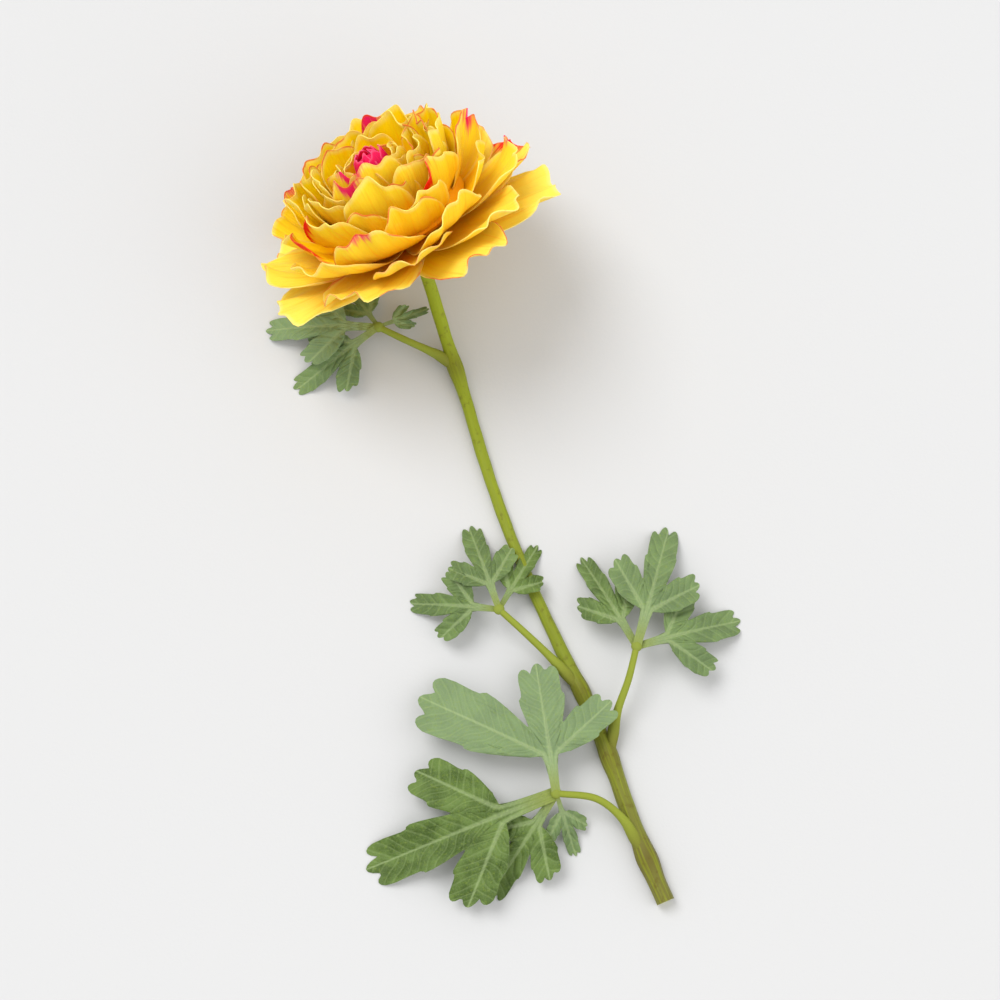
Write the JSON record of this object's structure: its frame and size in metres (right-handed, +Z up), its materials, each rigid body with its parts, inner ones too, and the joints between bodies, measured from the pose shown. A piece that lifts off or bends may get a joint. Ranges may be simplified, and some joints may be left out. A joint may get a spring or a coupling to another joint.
{
  "type": "ranunculus flower",
  "caption": "Cut ranunculus flower lying on its side: many-layered yellow bloom with a pink heart, green calyx, bent stem and divided leaves.",
  "frame": {"origin": "middle of the lying flower's footprint, on the surface it lies on", "axes": "+Z up from the surface; +Y along the flower from the cut end of the stem to the bloom"},
  "size_m": [0.18, 0.3004, 0.0849],
  "materials": {
    "petals": "thin matte petals, golden yellow, paler at the rims, with pink and red tips",
    "heart": "thin matte petals, deep pink",
    "calyx": "matte, yellow green with paler edges",
    "stem": "satin, olive green, browner at the joints",
    "leaves": "matte, grey green with paler veins"
  },
  "bodies": {
    "root": {"stem": "stem", "calyx": "calyx", "bloom": "petals", "heart": "heart", "upper_leaf": "leaves", "middle_left_leaf": "leaves", "middle_right_leaf": "leaves", "lower_leaf": "leaves"}
  },
  "joints": []
}
